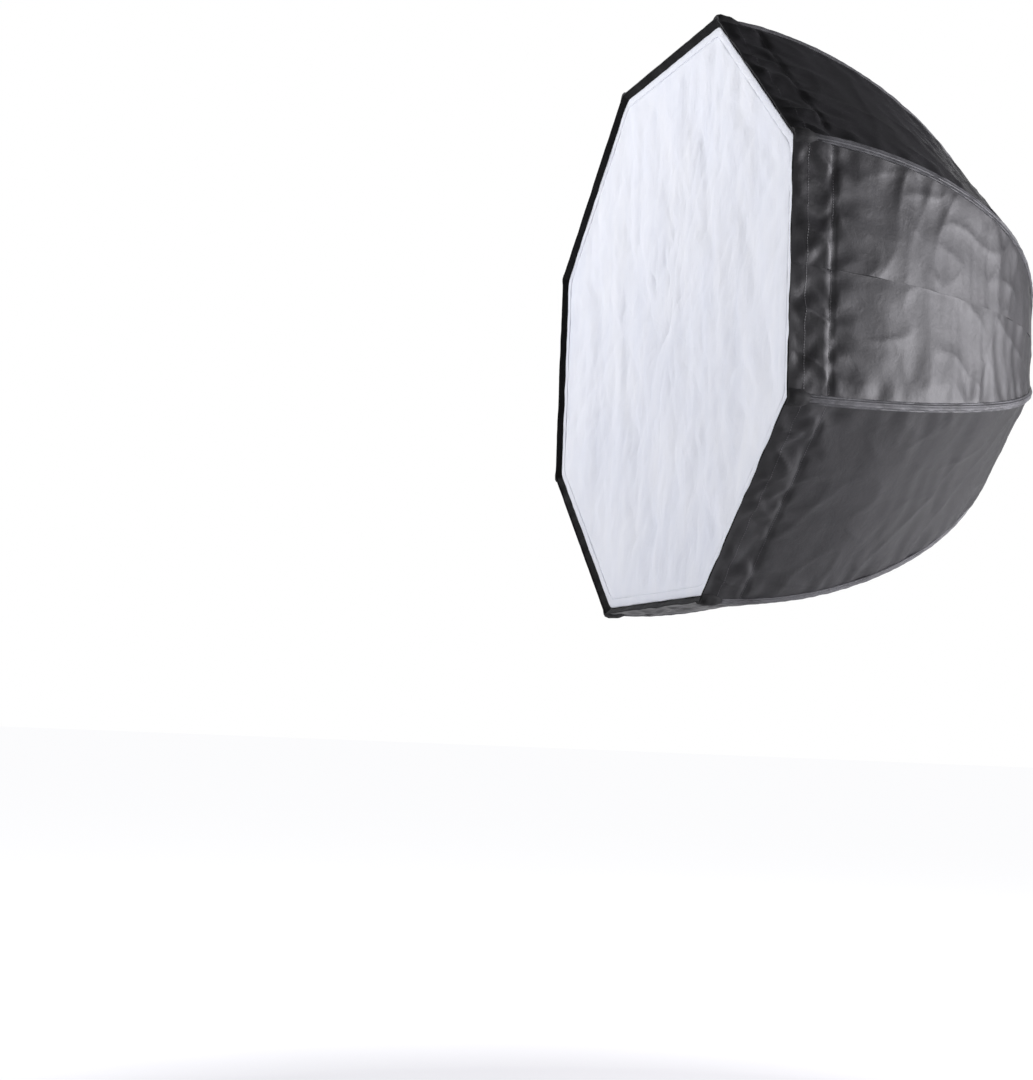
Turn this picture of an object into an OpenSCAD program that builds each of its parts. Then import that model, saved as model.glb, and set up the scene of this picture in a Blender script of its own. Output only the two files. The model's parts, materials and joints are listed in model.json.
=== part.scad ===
// Octagonal umbrella softbox: a black fabric shell on eight folding ribs, with a shaft and a push-on diffuser.
// X runs right and Z up as seen from the front. Y runs along the shaft, and the open front faces -Y.

/* [Shell] */
// Width of the open front across two opposite flats
across_flats = 800; // [600:10:1000]
// Depth from the front rim back to the crown pins
dish_depth = 570; // [450:5:700]
// Depth from the front rim back to the point where the shaft is clamped
clamp_depth = 250; // [200:5:300]
// Angle between rib and shaft at the rim
rim_angle = 1; // [0:0.5:8]
// Angle between rib and shaft at the rib's middle joint
mid_angle = 31; // [24:0.5:38]
// Angle between rib and shaft at the crown
crown_angle = 79.4; // [70:0.1:86]
// Thickness of the fabric with its lining
fabric_t = 1.2; // [0.8:0.1:2]
// Gap between a rib rod and the fabric
rib_gap = 1; // [0.8:0.1:2]
// How far the rim border slopes inwards
border_in = 8; // [5:0.5:12]
// How far the rim border slopes back
border_back = 9; // [5:0.5:12]
// Width of the flat flange that carries the diffuser
flange_w = 13; // [8:1:20]

/* [Ribs] */
// Diameter of the rib rods
rib_d = 4; // [3:0.5:6]
// Depth of the rib tips behind the rim
tip_inset = 14; // [13.5:0.5:25]
// Diameter of the pins at the rib ends and joints
pin_d = 2; // [1.5:0.1:2.4]
// Radial clearance between a pin and its eye
pin_play = 0.05; // [0.02:0.01:0.1]
// Distance from the shaft centre to the crown pins
crown_pin_r = 12; // [11:0.5:16]
// Angle on the rear rib arc where the stretcher clip sits
clip_angle = 52.5; // [45:0.5:60]
// Distance from the rib rod down to the clip pin
clip_drop = 8; // [7:0.5:12]
// Diameter of the stretcher rods
stretcher_d = 3; // [2.5:0.1:3]

/* [Shaft] */
// Outside diameter of the shaft tube
shaft_d = 10; // [8:0.5:12]
// Wall of the shaft tube
shaft_wall = 1; // [0.8:0.1:1.5]
// Depth of the shaft's front end behind the rim
shaft_front = 75; // [60:5:120]
// Length of shaft between the two rolled rings that mark where the bracket clamps
clamp_len = 60; // [40:5:100]
// Depth of the rolled rings
ring_depth = 0.2; // [0.1:0.05:0.3]
// Radial clearance of the runner on the shaft
runner_play = 0.05; // [0.02:0.01:0.1]
// Radius of the runner's slotted flange
runner_r = 16; // [15.5:0.5:20]
// Length of the runner sleeve in front of the stretcher ends
sleeve_len = 59; // [55:1:70]
// Diameter of the release button
button_d = 6; // [5:0.5:7]

/* [Diffuser] */
// Thickness of the diffuser cloth
diffuser_t = 1.2; // [0.8:0.1:2]
// Width of the diffuser's edge binding
binding_w = 9; // [6:1:15]

/* [Stand slot] */
// Width of the slot in the lowest panel
slot_w = 30; // [20:1:50]
// Length of the slot along the shaft direction
slot_len = 50; // [30:1:70]
// Width of each hook-and-loop strip beside the slot
strip_w = 16; // [10:1:30]

/* [Hidden] */
half_a = 22.5;
c8 = cos(half_a);
crown_y = dish_depth - clamp_depth;
rim_y = -clamp_depth;
rod_r = rib_d / 2;
skin_in = rod_r + rib_gap;
skin_out = skin_in + fabric_t;
tip_r = (across_flats / 2 - skin_out) / c8 - tip_inset * tan(rim_angle);
tip_y = rim_y + tip_inset;
// The rib is two arcs that meet at mid_angle. Their radii follow from the rib's two ends.
ca = cos(rim_angle) - cos(mid_angle);
cb = cos(mid_angle) - cos(crown_angle);
sa = sin(mid_angle) - sin(rim_angle);
sb = sin(crown_angle) - sin(mid_angle);
span_r = tip_r - crown_pin_r;
span_y = crown_y - tip_y;
arc_det = ca * sb - cb * sa;
front_r = (span_r * sb - cb * span_y) / arc_det;
rear_r = (ca * span_y - sa * span_r) / arc_det;
rear_c = [crown_pin_r - rear_r * cos(crown_angle), crown_y - rear_r * sin(crown_angle)];
mid_p = rear_c + rear_r * [cos(mid_angle), sin(mid_angle)];
front_c = mid_p - front_r * [cos(mid_angle), sin(mid_angle)];
mid_drop = 1.5;
mid_pin = mid_p - mid_drop * [cos(mid_angle), sin(mid_angle)];
clip_pin = rear_c + (rear_r - clip_drop) * [cos(clip_angle), sin(clip_angle)];
runner_y = 2 * clip_pin[1] - crown_y;
stretcher_len = norm(clip_pin - [crown_pin_r, runner_y]);
stretcher_a = atan2(clip_pin[1] - runner_y, clip_pin[0] - crown_pin_r);
rear_deg = 180 / (PI * rear_r);
front_deg = 180 / (PI * front_r);
pin_r = pin_d / 2;
eye_bore = pin_r + pin_play;
eye_r = 2.8;
eye_t = 3;
fork_in = 1.6;
hub_r = 16;
hub_t = 14;
shaft_r = shaft_d / 2;
sleeve_r = shaft_r + 2.5;
button_y = runner_y - sleeve_len + 7;
button_r = button_d / 2;
crown_hole_r = 19;
crown_end = acos((crown_hole_r - 5 - rear_c[0]) / rear_r);
seam = 0.3;
steps = 14;
reach = across_flats;
flange_in = across_flats / 2 - border_in - flange_w;
cloth_y = rim_y + border_back - 0.3 - diffuser_t;
binding_out = across_flats / 2 - border_in - 1;
$fn = 48;

// A point on the panel's own section curve, moved out from the rib line by off.
function skin(c, r, a, off) =
  let (m = sqrt(pow(cos(a), 2) + pow(c8 * sin(a), 2)))
  [c8 * (c[0] + r * cos(a)) + off * cos(a) / m, c[1] + r * sin(a) + off * c8 * sin(a) / m];
function rear_skin(off, k0 = 0, k1 = steps) =
  [for (k = [k0:k1]) skin(rear_c, rear_r, mid_angle + (crown_end - mid_angle) * k / steps, off)];
function front_skin(off, k0 = 0, k1 = steps) =
  [for (k = [k0:k1]) skin(front_c, front_r, mid_angle + (rim_angle - mid_angle) * k / steps, off)];
function backwards(list) = [for (k = [len(list) - 1:-1:0]) list[k]];

// The slope of the rim border, as the unit vector across it.
slope_l = norm([border_in, border_back]);
across = [border_back, border_in] / slope_l;
rim_n = skin(front_c, front_r, rim_angle, skin_out)[0] + tip_inset * tan(rim_angle) * c8;
wall_n = rim_n - fabric_t;
slope_0 = [rim_n, rim_y] + fabric_t * across;
rim_profile = [
  [rim_n, rim_y],
  [rim_n - border_in, rim_y + border_back],
  [flange_in, rim_y + border_back],
  [flange_in, rim_y + border_back + fabric_t],
  [
    slope_0[0] - (rim_y + border_back + fabric_t - slope_0[1]) * border_in / border_back,
    rim_y + border_back + fabric_t
  ],
  [wall_n, slope_0[1] + (slope_0[0] - wall_n) * border_back / border_in]
];
front_profile = concat(
  rear_skin(skin_out, 1, 1), front_skin(skin_out), rim_profile,
  backwards(front_skin(skin_in)), rear_skin(skin_in, 1, 1)
);
// Front and rear canopy part on one level plane through the middle of the fabric.
split_y = skin(rear_c, rear_r, mid_angle, (skin_in + skin_out) / 2)[1];

// Turns a piece drawn in the XY plane at +X into the plane of rib i.
module at_rib(i) {
  rotate([0, -(45 * i - half_a), 0])
    children();
}

// A piece of arc about centre c with a round section.
module arc_rod(c, r, a0, a1, rr) {
  translate([c[0], c[1], 0])
    rotate([0, 0, a0])
      rotate_extrude(angle = a1 - a0)
        translate([r, 0])
          circle(r = rr);
}

// A piece of arc about centre c with a flat section from height h0 to h1 and from z0 to z1.
module arc_bar(c, r, a0, a1, h0, h1, z0, z1) {
  translate([c[0], c[1], 0])
    rotate([0, 0, a0])
      rotate_extrude(angle = a1 - a0)
        translate([r + h0, z0])
          square([h1 - h0, z1 - z0]);
}

module disc_z(p, r, z0, z1) {
  translate([p[0], p[1], z0])
    cylinder(r = r, h = z1 - z0);
}

module disc_y(r, y0, y1) {
  translate([0, y1, 0])
    rotate([90, 0, 0])
      cylinder(r = r, h = y1 - y0);
}

// An octagonal plate with two level edges, n from its centre to each flat.
module octagon(n, y0, y1) {
  translate([0, y1, 0])
    rotate([90, 0, 0])
      rotate([0, 0, half_a])
        cylinder(r = n / c8, h = y1 - y0, $fn = 8);
}

// Half of one panel: the side of the rib that lies towards the next rib (1) or the last one (-1).
module panel_half(profile, side) {
  rotate([0, -side * half_a, 0])
    intersection() {
      translate([0, 0, side > 0 ? -reach : seam / 2])
        linear_extrude(reach - seam / 2)
          polygon(profile);
      translate([0, rim_y - 10, 0])
        rotate([-90, 0, 0])
          linear_extrude(dish_depth + 40)
            polygon([[0, 0], [reach, 0], [reach, side * reach * tan(half_a)]]);
    }
}

// The space under the two panels that meet at a rib, off away from the rib line, behind the split.
module under_panels(off) {
  low = front_skin(off, 1, 1)[0];
  high = rear_skin(off, steps, steps)[0];
  intersection_for (side = [-1, 1])
    rotate([0, -side * half_a, 0])
      translate([0, 0, -reach])
        linear_extrude(2 * reach)
          polygon(concat([[0, low[1]], low], rear_skin(off), [[0, high[1]]]));
}

// The sector from one panel's mid-line to the next, less half the seam gap on each side.
module sector() {
  apex = seam / 2 / sin(half_a);
  wide = (reach - apex) * tan(half_a);
  translate([0, split_y + seam / 2, 0])
    rotate([-90, 0, 0])
      linear_extrude(dish_depth)
        polygon([[apex, 0], [reach, wide], [reach, -wide]]);
}

// The slot that lets the light stand up to the shaft, in the lowest panel.
module stand_slot() {
  translate([-slot_w / 2, -slot_len / 2, -across_flats / 2 - 5])
    cube([slot_w, slot_len, across_flats / 4]);
}

module shaft_tube() {
  color("silver")
    difference() {
      disc_y(shaft_r, rim_y + shaft_front, crown_y + 3);
      disc_y(shaft_r - shaft_wall, rim_y + shaft_front - 1, crown_y + 4);
      for (y = [-clamp_len / 2 - 1, clamp_len / 2])
        difference() {
          disc_y(shaft_r + 1, y, y + 1);
          disc_y(shaft_r - ring_depth, y - 1, y + 2);
        }
    }
}

module shaft_end_cap() {
  color("dimgray")
    union() {
      disc_y(shaft_r, rim_y + shaft_front - 2.5, rim_y + shaft_front);
      disc_y(shaft_r - shaft_wall - 0.02, rim_y + shaft_front - 1, rim_y + shaft_front + 12);
    }
}

module crown_hub() {
  color("dimgray")
    difference() {
      disc_y(hub_r, crown_y - hub_t / 2, crown_y + hub_t / 2);
      disc_y(shaft_r, crown_y - hub_t, crown_y + 3);
      for (i = [1:8])
        at_rib(i) {
          translate([crown_pin_r - 3.6, crown_y - hub_t, -fork_in])
            cube([hub_r, 2 * hub_t, 2 * fork_in]);
          disc_z([crown_pin_r, crown_y], pin_r, -3.8, 3.8);
        }
    }
}

module crown_pins() {
  color("silver")
    for (i = [1:8])
      at_rib(i)
        disc_z([crown_pin_r, crown_y], pin_r, -3.8, 3.8);
}

module crown_cap() {
  color("black")
    difference() {
      union() {
        disc_y(23, crown_y + 2.8, crown_y + hub_t / 2 + 3);
        disc_y(9, crown_y + hub_t / 2, crown_y + hub_t / 2 + 9);
        translate([0, crown_y + hub_t / 2 + 9, 0])
          sphere(r = 5);
      }
      disc_y(18, crown_y, crown_y + hub_t / 2);
    }
}

module runner() {
  color("dimgray")
    difference() {
      union() {
        disc_y(runner_r, runner_y - 5, runner_y + 5);
        disc_y(sleeve_r, runner_y - sleeve_len, runner_y);
        translate([0, button_y, 0])
          cylinder(r = 6, h = 12);
      }
      disc_y(shaft_r + runner_play, runner_y - reach, runner_y + reach);
      for (i = [1:8])
        at_rib(i)
          translate([9, runner_y - 6, -fork_in - 0.1])
            cube([runner_r, 12, 2 * fork_in + 0.2]);
      translate([0, button_y, 0])
        cylinder(r = 4.3, h = 10.5);
      translate([0, button_y, 0])
        cylinder(r = button_r + 0.05, h = 20);
    }
}

module runner_button() {
  color("firebrick")
    translate([0, button_y, 0])
      union() {
        translate([0, 0, 8.6])
          cylinder(r = 4.2, h = 1.7);
        translate([0, 0, 8.6])
          cylinder(r = button_r, h = 6.6);
      }
}

// The rear half of a rib: eye at the crown, rod, and a fork at the middle joint.
module rib_rear(i) {
  color("palegoldenrod")
    at_rib(i)
      difference() {
        union() {
          arc_rod(rear_c, rear_r, mid_angle + 9 * rear_deg, crown_angle - 12 * rear_deg, rod_r);
          arc_rod(rear_c, rear_r, crown_angle - 21 * rear_deg, crown_angle - 10 * rear_deg, rod_r + 0.6);
          arc_bar(rear_c, rear_r, crown_angle - 15 * rear_deg, crown_angle, -2, 2, -eye_t / 2, eye_t / 2);
          disc_z([crown_pin_r, crown_y], eye_r, -eye_t / 2, eye_t / 2);
          arc_bar(rear_c, rear_r, mid_angle + 6 * rear_deg, mid_angle + 14 * rear_deg, -3.9, 0.6, -3.1, 3.1);
          for (s = [-1, 1]) {
            arc_bar(
              rear_c, rear_r, mid_angle, mid_angle + 8 * rear_deg, -3.9, 0.6,
              s > 0 ? fork_in : -3.1, s > 0 ? 3.1 : -fork_in
            );
            disc_z(mid_pin, eye_r, s > 0 ? fork_in : -3.1, s > 0 ? 3.1 : -fork_in);
          }
          disc_z(mid_pin, pin_r, -3.1, 3.1);
        }
        disc_z([crown_pin_r, crown_y], eye_bore, -2, 2);
      }
}

// The front half of a rib: eye at the middle joint, rod, and a rounded tip in the corner pocket.
module rib_front(i) {
  color("palegoldenrod")
    at_rib(i)
      difference() {
        union() {
          arc_rod(front_c, front_r, rim_angle, mid_angle - 8 * front_deg, rod_r);
          arc_rod(front_c, front_r, rim_angle, rim_angle + 14 * front_deg, rod_r + 0.6);
          arc_rod(front_c, front_r, mid_angle - 16 * front_deg, mid_angle - 7 * front_deg, rod_r + 0.6);
          translate([tip_r, tip_y, 0])
            rotate([0, 0, rim_angle])
              translate([0, 1, 0])
                rotate([90, 0, 0])
                  cylinder(r1 = rod_r + 0.5, r2 = rod_r - 0.4, h = 3.4);
          arc_bar(front_c, front_r, mid_angle - 10 * front_deg, mid_angle, -3.5, 0.5, -eye_t / 2, eye_t / 2);
          disc_z(mid_pin, eye_r, -eye_t / 2, eye_t / 2);
        }
        disc_z(mid_pin, eye_bore, -2, 2);
      }
}

// The moulded clip that ties a stretcher to its rib.
module rib_clip(i) {
  color("black")
    at_rib(i)
      difference() {
        union() {
          arc_rod(rear_c, rear_r, clip_angle - 8 * rear_deg, clip_angle + 8 * rear_deg, rod_r + 0.5);
          arc_bar(
            rear_c, rear_r, clip_angle - 4 * rear_deg, clip_angle + 4 * rear_deg,
            -clip_drop + 3.4, -0.5, -4.1, 4.1
          );
          for (s = [-1, 1]) {
            arc_bar(
              rear_c, rear_r, clip_angle - 3 * rear_deg, clip_angle + 3 * rear_deg, -clip_drop, -0.5,
              s > 0 ? fork_in : -4.1, s > 0 ? 4.1 : -fork_in
            );
            disc_z(clip_pin, 3, s > 0 ? fork_in : -4.1, s > 0 ? 4.1 : -fork_in);
          }
          disc_z(clip_pin, pin_r, -4.1, 4.1);
        }
        arc_rod(rear_c, rear_r, clip_angle - 9 * rear_deg, clip_angle + 9 * rear_deg, rod_r);
      }
}

// The strut from the runner to the clip, with a flat eye at each end.
module stretcher(i) {
  color("gainsboro")
    at_rib(i)
      translate([crown_pin_r, runner_y, 0])
        rotate([0, 0, stretcher_a])
          difference() {
            union() {
              translate([4, 0, 0])
                rotate([0, 90, 0])
                  cylinder(r = stretcher_d / 2, h = stretcher_len - 8);
              for (e = [0, stretcher_len])
                disc_z([e, 0], eye_r - 0.2, -eye_t / 2, eye_t / 2);
              for (e = [0, stretcher_len - 8])
                translate([e, -1.3, -eye_t / 2])
                  cube([8, 2.6, eye_t]);
            }
            for (e = [0, stretcher_len])
              disc_z([e, 0], eye_bore, -2, 2);
          }
}

module canopy_rear(i) {
  color("#1c1c20")
    at_rib(i)
      difference() {
        intersection() {
          under_panels(skin_out);
          sector();
        }
        under_panels(skin_in);
        disc_y(crown_hole_r, 0, dish_depth);
      }
}

module canopy_front(i) {
  color("#1c1c20")
    difference() {
      at_rib(i)
        union() {
          panel_half(front_profile, 1);
          panel_half(front_profile, -1);
        }
      translate([-reach, split_y - seam / 2, -reach])
        cube(2 * reach);
      if (i == 6 || i == 7)
        stand_slot();
    }
}

// One hook-and-loop strip on the inside of the lowest panel, from the slot to the rim.
module slot_strip(side) {
  rotate([0, 90, 0])
    translate([0, 0, side > 0 ? seam / 2 : -strip_w])
      linear_extrude(strip_w - seam / 2)
        intersection() {
          polygon(concat(front_skin(skin_in), backwards(front_skin(skin_in - 1))));
          translate([0, rim_y + border_back + 6])
            square([reach, clamp_depth - slot_len / 2 - border_back - 6]);
        }
}

module slot_strip_left() {
  color("black")
    slot_strip(-1);
}

module slot_strip_right() {
  color("black")
    slot_strip(1);
}

module diffuser_cloth() {
  color("white")
    octagon(binding_out - binding_w, cloth_y, cloth_y + diffuser_t);
}

module diffuser_binding() {
  color("whitesmoke")
    difference() {
      octagon(binding_out, cloth_y - 0.4, cloth_y + diffuser_t);
      octagon(binding_out - binding_w, cloth_y - 1, cloth_y + diffuser_t + 1);
    }
}

shaft_tube();
shaft_end_cap();
crown_hub();
crown_pins();
crown_cap();
runner();
runner_button();
diffuser_cloth();
diffuser_binding();
slot_strip_left();
slot_strip_right();
rib_rear(1);  // rib_rear_1
rib_rear(2);  // rib_rear_2
rib_rear(3);  // rib_rear_3
rib_rear(4);  // rib_rear_4
rib_rear(5);  // rib_rear_5
rib_rear(6);  // rib_rear_6
rib_rear(7);  // rib_rear_7
rib_rear(8);  // rib_rear_8
rib_front(1);  // rib_front_1
rib_front(2);  // rib_front_2
rib_front(3);  // rib_front_3
rib_front(4);  // rib_front_4
rib_front(5);  // rib_front_5
rib_front(6);  // rib_front_6
rib_front(7);  // rib_front_7
rib_front(8);  // rib_front_8
stretcher(1);  // stretcher_1
stretcher(2);  // stretcher_2
stretcher(3);  // stretcher_3
stretcher(4);  // stretcher_4
stretcher(5);  // stretcher_5
stretcher(6);  // stretcher_6
stretcher(7);  // stretcher_7
stretcher(8);  // stretcher_8
rib_clip(1);  // rib_clip_1
rib_clip(2);  // rib_clip_2
rib_clip(3);  // rib_clip_3
rib_clip(4);  // rib_clip_4
rib_clip(5);  // rib_clip_5
rib_clip(6);  // rib_clip_6
rib_clip(7);  // rib_clip_7
rib_clip(8);  // rib_clip_8
canopy_rear(1);  // canopy_rear_1
canopy_rear(2);  // canopy_rear_2
canopy_rear(3);  // canopy_rear_3
canopy_rear(4);  // canopy_rear_4
canopy_rear(5);  // canopy_rear_5
canopy_rear(6);  // canopy_rear_6
canopy_rear(7);  // canopy_rear_7
canopy_rear(8);  // canopy_rear_8
canopy_front(1);  // canopy_front_1
canopy_front(2);  // canopy_front_2
canopy_front(3);  // canopy_front_3
canopy_front(4);  // canopy_front_4
canopy_front(5);  // canopy_front_5
canopy_front(6);  // canopy_front_6
canopy_front(7);  // canopy_front_7
canopy_front(8);  // canopy_front_8
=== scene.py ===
import json
import math

import bmesh
import bpy
import numpy as np
from mathutils import Matrix, Vector


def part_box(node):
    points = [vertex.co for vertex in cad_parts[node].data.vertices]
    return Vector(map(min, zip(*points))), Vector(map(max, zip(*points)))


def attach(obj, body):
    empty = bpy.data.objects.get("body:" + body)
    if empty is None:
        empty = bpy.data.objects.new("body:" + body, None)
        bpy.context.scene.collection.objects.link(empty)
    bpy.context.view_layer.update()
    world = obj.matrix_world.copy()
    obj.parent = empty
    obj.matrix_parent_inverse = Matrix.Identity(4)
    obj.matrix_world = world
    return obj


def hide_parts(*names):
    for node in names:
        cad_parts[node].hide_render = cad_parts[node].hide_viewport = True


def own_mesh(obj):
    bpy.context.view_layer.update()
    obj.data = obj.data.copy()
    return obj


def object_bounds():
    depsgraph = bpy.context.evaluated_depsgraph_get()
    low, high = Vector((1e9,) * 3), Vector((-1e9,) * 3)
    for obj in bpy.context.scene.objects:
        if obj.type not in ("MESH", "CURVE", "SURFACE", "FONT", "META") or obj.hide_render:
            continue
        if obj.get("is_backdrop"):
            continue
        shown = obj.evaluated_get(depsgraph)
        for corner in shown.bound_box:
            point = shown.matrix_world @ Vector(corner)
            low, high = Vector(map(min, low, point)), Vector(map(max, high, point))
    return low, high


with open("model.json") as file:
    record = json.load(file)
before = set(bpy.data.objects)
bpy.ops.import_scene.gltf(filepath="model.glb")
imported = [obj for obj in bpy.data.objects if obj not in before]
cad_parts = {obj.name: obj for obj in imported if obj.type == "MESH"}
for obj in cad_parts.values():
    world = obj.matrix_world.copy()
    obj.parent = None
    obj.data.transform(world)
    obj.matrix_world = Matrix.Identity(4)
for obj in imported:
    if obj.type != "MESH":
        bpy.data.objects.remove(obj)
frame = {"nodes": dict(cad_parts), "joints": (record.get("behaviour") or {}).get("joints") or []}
cad_low, cad_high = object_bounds()
joints = {j["name"]: j for j in frame["joints"]}

# ---------------------------------------------------------------- the softbox's dimensions
HALF = math.radians(22.5)  # from a rib to the middle of the panel beside it
C8, T8 = math.cos(HALF), math.tan(HALF)
RIM_A, MID_A, CROWN_A = (math.radians(a) for a in (1.0, 31.0, 79.4))
SKIN_IN, SKIN_OUT = 0.0030, 0.0042  # the lining's and the shell's way out from the rib line
BORDER_IN, BORDER_BACK, FLANGE = 0.008, 0.009, 0.013  # the rim border's slope, and its flange's width
HEM, EDGE_SEAM = 0.0575, 0.0215  # the two stitched lines' way back from the rim
UV_UNIT = 0.1  # metres in one unit of UV
TAPE_V = 3.0  # where the border's UVs start, in those units


def rib_point(name):
    """A joint's place in its rib's plane: distance from the axis, and y."""
    p = Vector(joints[name]["pos_m"])
    return np.array([math.hypot(p.x, p.z), p.y])


def polar(a):
    """The unit vector at an angle, in a rib's plane."""
    return np.array([math.cos(a), math.sin(a)])


crown_p = rib_point("rib_rear_fold_1")
mid_pin = rib_point("rib_front_fold_1")
PIN_TO_ROD = 0.0015
mid_p = mid_pin + PIN_TO_ROD * polar(MID_A)
REAR_R = (mid_p[0] - crown_p[0]) / (math.cos(MID_A) - math.cos(CROWN_A))
rear_c = mid_p - REAR_R * polar(MID_A)
rim_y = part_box("canopy_front_1")[0].y
rim_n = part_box("canopy_front_1")[1].x
TIP_Y = rim_y + 0.014
FRONT_R = (mid_p[1] - TIP_Y) / (math.sin(MID_A) - math.sin(RIM_A))
front_c = mid_p - FRONT_R * polar(MID_A)
TAPE_BACK_Y = rim_y + BORDER_BACK + 0.0012  # the back of the border's flange, where the lining starts
split_y = (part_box("canopy_front_1")[1].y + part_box("canopy_rear_1")[0].y) / 2
cloth_low, cloth_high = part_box("diffuser_cloth")
edge_low, edge_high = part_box("diffuser_binding")


def skin(c, r, a, off):
    """A point of a panel's section, off away from the rib line: distance from the axis, and y."""
    m = np.sqrt(np.cos(a) ** 2 + (C8 * np.sin(a)) ** 2)
    n = C8 * (c[0] + r * np.cos(a)) + off * np.cos(a) / m
    y = c[1] + r * np.sin(a) + off * C8 * np.sin(a) / m
    return np.stack([n, y], -1)


def whole_curve(off):
    """The panel's section from the crown to the rim's edge."""
    rear = skin(rear_c, REAR_R, np.linspace(CROWN_A - 0.012, MID_A, 400), off)
    front = skin(front_c, FRONT_R, np.linspace(MID_A, RIM_A, 350), off)[1:]
    end = front[-1] + [(front[-1, 1] - rim_y) * math.tan(RIM_A) * C8, rim_y - front[-1, 1]]
    return np.vstack([rear, front, end])


def arc_length(p):
    """The length along a line of points, at each of them."""
    return np.concatenate([[0], np.cumsum(np.linalg.norm(np.diff(p, axis=0), axis=1))])


# ---------------------------------------------------------------- repeatable noise
def lattice(ix, iy, seed):
    """An angle for each whole-numbered point, from an integer hash."""
    h = (ix * 374761393 + iy * 668265263 + seed * 974634777) & 0xFFFFFFFF
    h = ((h ^ (h >> 13)) * 1274126177) & 0xFFFFFFFF
    return ((h ^ (h >> 16)) & 0xFFFF) / 65535.0 * 2 * math.pi


def noise(x, y, seed=0):
    """Smooth gradient noise, about -1 to 1."""
    x, y = np.broadcast_arrays(np.asarray(x, float), np.asarray(y, float))
    ix, iy = np.floor(x).astype(np.int64), np.floor(y).astype(np.int64)
    fx, fy = x - ix, y - iy
    u, v = fx * fx * fx * (fx * (fx * 6 - 15) + 10), fy * fy * fy * (fy * (fy * 6 - 15) + 10)

    def corner(dx, dy):
        a = lattice(ix + dx, iy + dy, seed)
        return np.cos(a) * (fx - dx) + np.sin(a) * (fy - dy)

    low = corner(0, 0) * (1 - u) + corner(1, 0) * u
    high = corner(0, 1) * (1 - u) + corner(1, 1) * u
    return (low * (1 - v) + high * v) * 1.5


def ridge(x, y, seed=0):
    """Sharp creases: 1 on the crease, falling to 0."""
    return np.clip(1 - np.abs(noise(x, y, seed)) * 2.2, 0, 1)


def ease(x, a, b):
    """0 up to a, 1 from b on, and smooth between."""
    t = np.clip((x - a) / (b - a), 0, 1)
    return t * t * (3 - 2 * t)


# ---------------------------------------------------------------- mesh helpers
def new_object(name, verts, faces, uvs=None, mats=(), index=None):
    me = bpy.data.meshes.new(name)
    me.from_pydata(np.asarray(verts, float).tolist(), [], [list(map(int, f)) for f in faces])
    if uvs is not None:
        layer = me.uv_layers.new(name="UVMap")
        loops = np.zeros(len(me.loops), np.int32)
        me.loops.foreach_get("vertex_index", loops)
        layer.data.foreach_set("uv", np.asarray(uvs, np.float32)[loops].ravel())
    for m in mats:
        me.materials.append(m)
    if index is not None:
        me.polygons.foreach_set("material_index", np.asarray(index, np.int32))
    me.polygons.foreach_set("use_smooth", [True] * len(me.polygons))
    me.validate()
    me.update()
    o = bpy.data.objects.new(name, me)
    bpy.context.scene.collection.objects.link(o)
    return o


def grid_faces(rows, cols, closed_rows=False):
    r = np.arange(rows if closed_rows else rows - 1)
    c = np.arange(cols - 1)
    rr, cc = np.meshgrid(r, c, indexing="ij")
    here, there = rr * cols + cc, (rr + 1) % rows * cols + cc
    return np.stack([here, here + 1, there + 1, there], -1).reshape(-1, 4)


def strip_faces(rows, ring):
    """Faces of a bar of closed rings, with a face over each end."""
    faces = [tuple(f) for f in grid_faces(rows, ring)]
    faces += [((r + 1) * ring - 1, r * ring, (r + 1) * ring, (r + 2) * ring - 1) for r in range(rows - 1)]
    return faces + [tuple(range(ring)), tuple((rows - 1) * ring + c for c in range(ring))]


def outward(o):
    """Turns a closed mesh's faces outwards."""
    bm = bmesh.new()
    bm.from_mesh(o.data)
    bmesh.ops.recalc_face_normals(bm, faces=bm.faces)
    bm.to_mesh(o.data)
    bm.free()
    return o


def tube(name, points, radius, mat, sides, flat, up, cyclic=False):
    """A round or flattened bar swept along points, with rounded ends."""
    p = [Vector(q) for q in points]
    n = len(p)
    rings, radii = [], []
    ref = Vector(up)
    for k in range(n):
        a, b = (p[(k - 1) % n], p[(k + 1) % n]) if cyclic else (p[max(0, k - 1)], p[min(n - 1, k + 1)])
        t = (b - a).normalized()
        side = t.cross(ref).normalized()
        top = side.cross(t).normalized()
        rings.append((p[k], side, top, t))
        radii.append(radius)
    if not cyclic:
        first, last = rings[0], rings[-1]
        caps = [(0.35, 0.9), (0.75, 0.6)]  # each end ring's way past the end and its width, in radii
        start = [(first[0] - first[3] * radius * d, *first[1:]) for d, _ in reversed(caps)]
        rings = start + rings + [(last[0] + last[3] * radius * d, *last[1:]) for d, _ in caps]
        radii = [radius * s for _, s in reversed(caps)] + radii
        radii += [radius * s for _, s in caps]
    verts = []
    for (c, side, top, _), r in zip(rings, radii):
        for k in range(sides):
            a = 2 * math.pi * k / sides
            verts.append(c + side * (math.cos(a) * r) + top * (math.sin(a) * r * flat))
    faces = []
    m = len(rings)
    for i in range(m if cyclic else m - 1):
        for k in range(sides):
            j, l = (i + 1) % m, (k + 1) % sides
            faces.append((i * sides + k, i * sides + l, j * sides + l, j * sides + k))
    if not cyclic:
        faces.append(tuple(range(sides)))
        faces.append(tuple((m - 1) * sides + k for k in range(sides)))
    return outward(new_object(name, verts, faces, mats=[mat]))


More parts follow.
